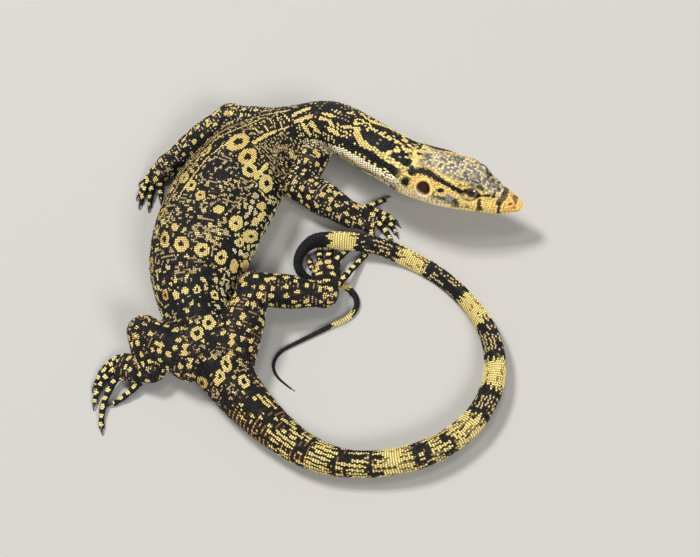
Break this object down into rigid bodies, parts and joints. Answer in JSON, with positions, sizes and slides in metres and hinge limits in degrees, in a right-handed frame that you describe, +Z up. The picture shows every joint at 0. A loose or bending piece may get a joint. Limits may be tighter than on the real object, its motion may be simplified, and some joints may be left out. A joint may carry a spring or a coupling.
{
  "type": "water monitor lizard model",
  "caption": "Life-size still model of a young water monitor lizard, curled on the floor with its head raised and its tail looped back over one hind foot.",
  "frame": {"origin": "middle of the floor that the animal covers, at floor level", "axes": "+Z up from the floor; +Y from the tail base towards the neck; the snout points towards +X"},
  "size_m": [0.1528, 0.1482, 0.0308],
  "materials": {
    "head_skin": "satin grey and yellow plates with black bands",
    "throat_skin": "satin cream and yellow scales with black bars",
    "body_skin": "satin black scales with rows of yellow rings",
    "limb_skin": "satin black scales with yellow spots",
    "tail_skin": "satin scales in black and yellow bands",
    "eyes": "wet dark brown with a round black pupil",
    "claws": "smooth dark horn"
  },
  "bodies": {
    "root": {"belly": "body_skin", "chest": "body_skin", "claw_foot_left_1": "claws", "claw_foot_left_2": "claws", "claw_foot_left_3": "claws", "claw_foot_left_4": "claws", "claw_foot_left_5": "claws", "claw_foot_right_1": "claws", "claw_foot_right_2": "claws", "claw_foot_right_3": "claws", "claw_foot_right_4": "claws", "claw_foot_right_5": "claws", "claw_hand_left_1": "claws", "claw_hand_left_2": "claws", "claw_hand_left_3": "claws", "claw_hand_left_4": "claws", "claw_hand_left_5": "claws", "claw_hand_right_1": "claws", "claw_hand_right_2": "claws", "claw_hand_right_3": "claws", "claw_hand_right_4": "claws", "claw_hand_right_5": "claws", "eye_left": "eyes", "eye_right": "eyes", "foot_left": "limb_skin", "foot_right": "limb_skin", "forearm_left": "limb_skin", "forearm_right": "limb_skin", "hand_left": "limb_skin", "hand_right": "limb_skin", "head": "head_skin", "hips": "body_skin", "jaw": "throat_skin", "neck": "body_skin", "shin_left": "limb_skin", "shin_right": "limb_skin", "tail_base": "tail_skin", "tail_fifth": "tail_skin", "tail_fourth": "tail_skin", "tail_second": "tail_skin", "tail_third": "tail_skin", "tail_tip": "tail_skin", "thigh_left": "limb_skin", "thigh_right": "limb_skin", "upper_arm_left": "limb_skin", "upper_arm_right": "limb_skin"}
  },
  "joints": []
}
